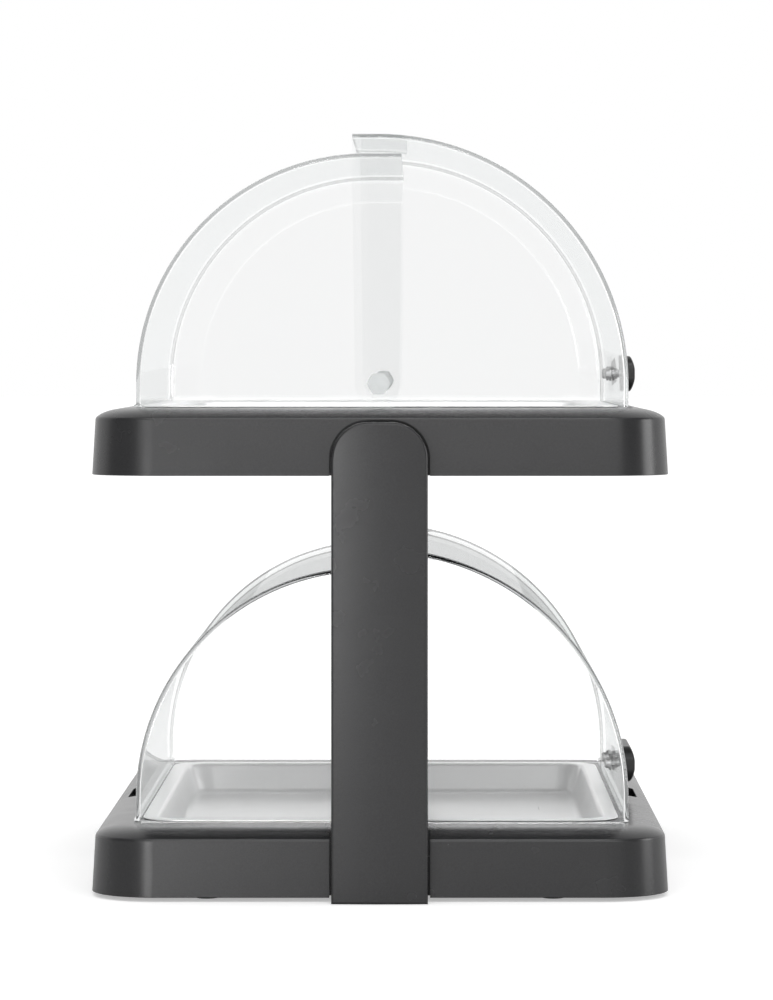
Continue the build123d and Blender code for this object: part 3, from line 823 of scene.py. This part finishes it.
def build_roll_cover(tier, sizes, fittings, material):
    """The cover that rolls, with its pivot holes and the screw holes for the handle."""
    base = BASES[tier]
    cover = build_cover(f"{tier}_roll_shell", roll_profile(sizes), ROLL_HIGH.y, base, sizes, material)
    pivot = base + ROLL_LOW.z - sizes.seat_gap + sizes.pivot_height
    for side in ENDS.values():
        hole = rod_mesh((sizes.pivot_x, side * ROLL_HIGH.y, pivot), (0, 1, 0), sizes.bolt_radius, 6 * MM)
        combine(cover, hole, "DIFFERENCE")
    middle = base + (HANDLE_LOW.z + HANDLE_HIGH.z) / 2
    for side in (-1, 1):
        place = (sizes.pivot_x + sizes.roll_radius, side * fittings.screw_spacing / 2, middle)
        combine(cover, rod_mesh(place, (1, 0, 0), fittings.screw_radius, 6 * MM, 20), "DIFFERENCE")
    smooth(cover, flat_axis=1)
    soften(cover, sizes.rim)
    even_normals(cover)
    settle(cover, f"{tier}_roll_cover", "clear_cover", f"{tier}_roll_cover")


def build_fixed_cover(tier, sizes, material):
    """The fixed cover, with its pivot holes."""
    base = BASES[tier]
    cover = build_cover(
        f"{tier}_fixed_shell", fixed_profile(sizes), FIXED_HIGH.y, base, sizes, material, sizes.bead_reach
    )
    pivot = base + FIXED_LOW.z - sizes.seat_gap + sizes.pivot_height
    for side in ENDS.values():
        hole = rod_mesh((sizes.pivot_x, side * FIXED_HIGH.y, pivot), (0, 1, 0), sizes.bolt_radius, 6 * MM)
        combine(cover, hole, "DIFFERENCE")
    smooth(cover, flat_axis=1)
    soften(cover, sizes.rim)
    even_normals(cover)
    settle(cover, f"{tier}_cover_set", "clear_cover", f"{tier}_fixed_cover")


# Trays and handles


def tray_rings(fittings, deck, base):
    """Rings of a tray, from the floor over the flange and back under it."""
    flange_x, flange_y = TRAY_HIGH.x, TRAY_HIGH.y
    top = TRAY_HIGH.z + base
    under = top - fittings.sheet
    flange_corner = fittings.flange_corner
    mouth_x = flange_x - deck.well_inset - fittings.tray_gap
    mouth_y = flange_y - deck.well_inset - fittings.tray_gap
    mouth_corner = deck.well_corner - fittings.tray_gap
    lean = fittings.tray_lean

    def skin(thickness, rim_bend):
        floor = TRAY_LOW.z + base + thickness
        depth = under - floor
        bend = fittings.tray_bend + fittings.sheet - thickness
        rings = []
        run = depth * sin(lean) / cos(lean)
        turn = pi / 2 - lean
        shift = bend * sin(turn / 2) / cos(turn / 2)
        steps = 6
        for step in range(steps + 1):
            angle = turn * step / steps
            inset = run + shift - bend * sin(angle)
            rings.append((thickness + inset, floor + bend * (1 - cos(angle))))
        rings.append((thickness + rim_bend * sin(lean), under - rim_bend))
        rings.append((thickness - rim_bend * 0.35, under + thickness - rim_bend * 0.3))
        rings.append((thickness - rim_bend, under + thickness))
        return [
            plan_ring(mouth_x - inset, mouth_y - inset, max(mouth_corner - inset * 0.6, 3 * MM), height)
            for inset, height in rings
        ]

    roll = fittings.sheet * 0.45
    upper = skin(fittings.sheet, 1.6 * MM)
    lower = skin(0.0, 0.9 * MM)
    edge = [
        plan_ring(flange_x - roll, flange_y - roll, flange_corner, top),
        plan_ring(flange_x, flange_y, flange_corner, top - roll * 0.7),
        plan_ring(flange_x, flange_y, flange_corner, under + roll * 0.5),
        plan_ring(flange_x - roll, flange_y - roll, flange_corner, under),
    ]
    return upper + edge + lower[::-1]


def build_tray(tier, fittings, deck, material):
    """One stainless tray."""
    tray = new_object(f"{tier}_tray_sheet", *loft(tray_rings(fittings, deck, BASES[tier])), material)
    smooth(tray, radians(40))
    even_normals(tray)
    settle(tray, f"{tier}_tray", "stainless", f"{tier}_tray")


def build_handle(tier, fittings, covers, material):
    """The long grip with round ends and a crowned face."""
    base = BASES[tier]
    half_y = HANDLE_HIGH.y
    half_z = (HANDLE_HIGH.z - HANDLE_LOW.z) / 2
    middle = base + (HANDLE_HIGH.z + HANDLE_LOW.z) / 2
    front = covers.pivot_x + covers.roll_radius
    crown = HANDLE_HIGH.x - front - fittings.grip_edge
    pivot = base + ROLL_LOW.z - covers.seat_gap + covers.pivot_height
    rounding = fittings.grip_round
    insets = [rounding * (1 - cos(pi / 2 * k / 6)) for k in range(7)]
    insets += [rounding + (half_z - rounding) * k / 8 for k in range(1, 8)]

    def face_x(inset, z):
        lift = crown * (1 - ((z - middle) / half_z) ** 2)
        sink = rounding - sqrt(max(rounding**2 - max(rounding - inset, 0) ** 2, 0))
        return front + fittings.grip_edge + lift - sink

    rings = []
    back_ring = []
    for y, z in rounded_rectangle(half_y, half_z, fittings.grip_corner, 12):
        height = z + middle
        rise = max(height - pivot, 0)
        back_ring.append((covers.pivot_x + sqrt(covers.roll_radius**2 - rise**2) + HAIR, y, height))
    rings.append(back_ring)
    for inset in insets:
        corner = max(fittings.grip_corner - inset, 0.4 * MM)
        ring = []
        corner = min(corner, half_z - inset - HAIR)
        for y, z in rounded_rectangle(half_y - inset, half_z - inset, corner, 12):
            ring.append((face_x(inset, z + middle), y, z + middle))
        rings.append(ring)
    handle = new_object(f"{tier}_handle_grip", *loft(rings), material)
    smooth(handle, radians(45))
    even_normals(handle)
    settle(handle, f"{tier}_roll_cover", "black_grip", f"{tier}_handle")


# Stage


def build_floor(settings):
    """A pale floor that stays white to the camera but keeps the display's shadow."""
    material, tree = new_material("floor_white")
    place = node(tree, "ShaderNodeTexCoord").outputs["Object"]
    tone = ramp(tree, noise(tree, place, 3.0, 3.0), 0.3, 0.7, 0.985, 1.0)
    path = node(tree, "ShaderNodeLightPath").outputs
    seen = maths(tree, "MAXIMUM", path["Is Camera Ray"], path["Is Transmission Ray"])
    inputs = {
        "Base Color": scaled(tree, tuple(settings.floor), tone),
        "Roughness": 0.9,
        "Specular IOR Level": 0.1,
        "Emission Color": (1, 1, 1, 1),
        "Emission Strength": maths(tree, "MULTIPLY", seen, 0.42),
    }
    shader = node(tree, "ShaderNodeBsdfPrincipled", inputs)
    node(tree, "ShaderNodeOutputMaterial", {"Surface": shader.outputs[0]})
    reach = 30.0
    vertices = [(-reach, -reach, 0), (reach, -reach, 0), (reach, reach, 0), (-reach, reach, 0)]
    floor = new_object("floor", vertices, [(0, 1, 2, 3)], material)


def build_world(settings):
    """White to the camera and behind the display, darker in front, soft and even as light."""
    world = bpy.data.worlds.new("studio")
    bpy.context.scene.world = world
    world.use_nodes = True
    tree = world.node_tree
    tree.nodes.clear()
    toward = node(tree, "ShaderNodeTexCoord").outputs["Generated"]
    parts = node(tree, "ShaderNodeSeparateXYZ", {0: toward}).outputs

    def slope(value, low, high, at_low, at_high):
        return ramp(tree, value, low, high, at_low, at_high, interpolation_type="SMOOTHSTEP")

    rising = slope(parts["Z"], 0.12, 0.60, settings.front_low, settings.front_high)
    top = slope(parts["Z"], 0.80, 0.97, 1.0, settings.overhead / settings.front_high)
    sides = slope(maths(tree, "ABSOLUTE", parts["X"]), 0.35, 0.75, 1.0, 0.2)
    front = maths(tree, "MULTIPLY", maths(tree, "MULTIPLY", rising, top), sides)
    behind = slope(parts["Y"], -0.10, 0.30, 0.0, 1.0)
    room = node(tree, "ShaderNodeMix", {"Factor": behind, "A": front, "B": 1.0}, data_type="FLOAT").outputs[0]

    def glow(strength):
        inputs = {"Color": (1, 1, 1, 1), "Strength": strength}
        return node(tree, "ShaderNodeBackground", inputs).outputs[0]

    path = node(tree, "ShaderNodeLightPath").outputs
    direct = maths(tree, "MAXIMUM", path["Is Glossy Ray"], path["Is Transmission Ray"])
    lit = node(tree, "ShaderNodeMixShader", {0: direct, 1: glow(settings.surround), 2: glow(room)})
    mixed = node(tree, "ShaderNodeMixShader", {0: path["Is Camera Ray"], 1: lit.outputs[0], 2: glow(1.0)})
    node(tree, "ShaderNodeOutputWorld", {"Surface": mixed.outputs[0]})


def add_lamp(name, place, target, size, power):
    """A square soft lamp that faces a point."""
    light = bpy.data.lights.new(name, "AREA")
    light.shape = "RECTANGLE"
    light.size, light.size_y = size
    light.energy = power
    lamp = bpy.data.objects.new(name, light)
    bpy.context.scene.collection.objects.link(lamp)
    lamp.location = place
    lamp.rotation_euler = (Vector(target) - Vector(place)).to_track_quat("-Z", "Y").to_euler()


def add_camera(settings):
    """The photograph's camera: level, far away, with its lens shifted down."""
    data = bpy.data.cameras.new("camera")
    data.lens = settings.lens
    data.sensor_width = 36
    data.shift_x = settings.shift_x
    data.shift_y = settings.shift_y
    data.clip_end = 100
    camera = bpy.data.objects.new("camera", data)
    bpy.context.scene.collection.objects.link(camera)
    camera.location = (settings.camera_x, settings.camera_y, settings.camera_z)
    camera.rotation_euler = (pi / 2, 0, 0)
    bpy.context.scene.camera = camera


# Operators and panel


class DISPLAY_OT_decks(bpy.types.Operator):
    """Build the two moulded decks"""

    bl_idname = "display.decks"
    bl_label = "Decks"

    def execute(self, context):
        material = black_plastic(context.scene.display_finishes)
        for tier in TIERS:
            build_deck(tier, context.scene.display_deck, material)
        return {"FINISHED"}


class DISPLAY_OT_uprights(bpy.types.Operator):
    """Finish the uprights, their liners and the feet"""

    bl_idname = "display.uprights"
    bl_label = "Uprights and feet"

    def execute(self, context):
        look = context.scene.display_finishes
        for end in ENDS:
            dress(f"{end}_upright", black_plastic(look))
            dress(f"{end}_upright_liner", black_plastic(look))
            dress(f"{end}_upright_screws", screw_steel(look))
        dress("feet", foot_rubber(look))
        return {"FINISHED"}


class DISPLAY_OT_roll_covers(bpy.types.Operator):
    """Build the clear covers that roll open"""

    bl_idname = "display.roll_covers"
    bl_label = "Roll covers"

    def execute(self, context):
        scene = context.scene
        material = cover_plastic(scene.display_finishes)
        for tier in TIERS:
            build_roll_cover(tier, scene.display_covers, scene.display_fittings, material)
        return {"FINISHED"}


class DISPLAY_OT_fixed_covers(bpy.types.Operator):
    """Build the clear fixed covers"""

    bl_idname = "display.fixed_covers"
    bl_label = "Fixed covers"

    def execute(self, context):
        scene = context.scene
        material = cover_plastic(scene.display_finishes)
        for tier in TIERS:
            build_fixed_cover(tier, scene.display_covers, material)
        return {"FINISHED"}


class DISPLAY_OT_pivots(bpy.types.Operator):
    """Finish the pivot bolts, washers and nuts"""

    bl_idname = "display.pivots"
    bl_label = "Pivots"

    def execute(self, context):
        material = clear_fittings(context.scene.display_finishes)
        for tier in TIERS:
            for piece in ("bolts", "washers", "nuts"):
                dress(f"{tier}_pivot_{piece}", material)
        return {"FINISHED"}


class DISPLAY_OT_trays(bpy.types.Operator):
    """Build the stainless trays and finish the cooling packs under them"""

    bl_idname = "display.trays"
    bl_label = "Trays"

    def execute(self, context):
        scene = context.scene
        look = scene.display_finishes
        for tier in TIERS:
            build_tray(tier, scene.display_fittings, scene.display_deck, tray_steel(look))
            for end in ENDS:
                dress(f"{tier}_{end}_cooling_pack", pack_plastic(look))
        return {"FINISHED"}


class DISPLAY_OT_handles(bpy.types.Operator):
    """Build the handles and finish their screws and washers"""

    bl_idname = "display.handles"
    bl_label = "Handles"

    def execute(self, context):
        scene = context.scene
        look = scene.display_finishes
        for tier in TIERS:
            build_handle(tier, scene.display_fittings, scene.display_covers, grip_plastic(look))
            dress(f"{tier}_handle_screws", screw_steel(look))
            dress(f"{tier}_handle_washers", screw_steel(look))
        return {"FINISHED"}


class DISPLAY_OT_stage(bpy.types.Operator):
    """Set up the floor, the lamps, the world and the camera"""

    bl_idname = "display.stage"
    bl_label = "Stage"

    def execute(self, context):
        settings = context.scene.display_stage
        build_floor(settings)
        build_world(settings)
        add_lamp("left_lamp", (-0.79, -3.10, 0.115), (0, 0, 0.115), (0.85, 0.22), settings.left)
        add_lamp("right_lamp", (2.6, -0.3, 0.5), (0, 0, 0.25), (1.0, 1.2), settings.right)
        add_lamp("front_lamp", (0.0, -4.0, 1.15), (0, 0, 0.1), (5.0, 0.9), settings.front)
        add_lamp("high_lamp", (0.0, -2.2, 2.4), (0, 0, 0.25), (1.6, 0.25), settings.high)
        add_camera(settings)
        context.scene.view_settings.view_transform = "Standard"
        return {"FINISHED"}


OPERATORS = (
    DISPLAY_OT_decks,
    DISPLAY_OT_uprights,
    DISPLAY_OT_roll_covers,
    DISPLAY_OT_fixed_covers,
    DISPLAY_OT_pivots,
    DISPLAY_OT_trays,
    DISPLAY_OT_handles,
    DISPLAY_OT_stage,
)


class DISPLAY_PT_pieces(bpy.types.Panel):
    """The pieces of the display, one button each"""

    bl_label = "Roll-Top Display"
    bl_idname = "DISPLAY_PT_pieces"
    bl_space_type = "VIEW_3D"
    bl_region_type = "UI"
    bl_category = "Display"

    def draw(self, context):
        for operator in OPERATORS:
            self.layout.operator(operator.bl_idname)


GROUPS = {
    "display_deck": DeckSizes,
    "display_covers": CoverSizes,
    "display_fittings": FittingSizes,
    "display_finishes": Finishes,
    "display_stage": StageSettings,
}


def register():
    """Register the classes and hang the settings on the scene."""
    for group in GROUPS.values():
        bpy.utils.register_class(group)
    for name, group in GROUPS.items():
        setattr(bpy.types.Scene, name, PointerProperty(type=group))
    for operator in OPERATORS:
        bpy.utils.register_class(operator)
    bpy.utils.register_class(DISPLAY_PT_pieces)


def unregister():
    """Undo what register did."""
    bpy.utils.unregister_class(DISPLAY_PT_pieces)
    for operator in reversed(OPERATORS):
        bpy.utils.unregister_class(operator)
    for name, group in GROUPS.items():
        delattr(bpy.types.Scene, name)
        bpy.utils.unregister_class(group)


def main():
    """Build every piece in order."""
    register()
    bpy.ops.display.decks()
    bpy.ops.display.uprights()
    bpy.ops.display.trays()
    bpy.ops.display.fixed_covers()
    bpy.ops.display.roll_covers()
    bpy.ops.display.pivots()
    bpy.ops.display.handles()
    bpy.ops.display.stage()


if __name__ == "__main__":
    main()
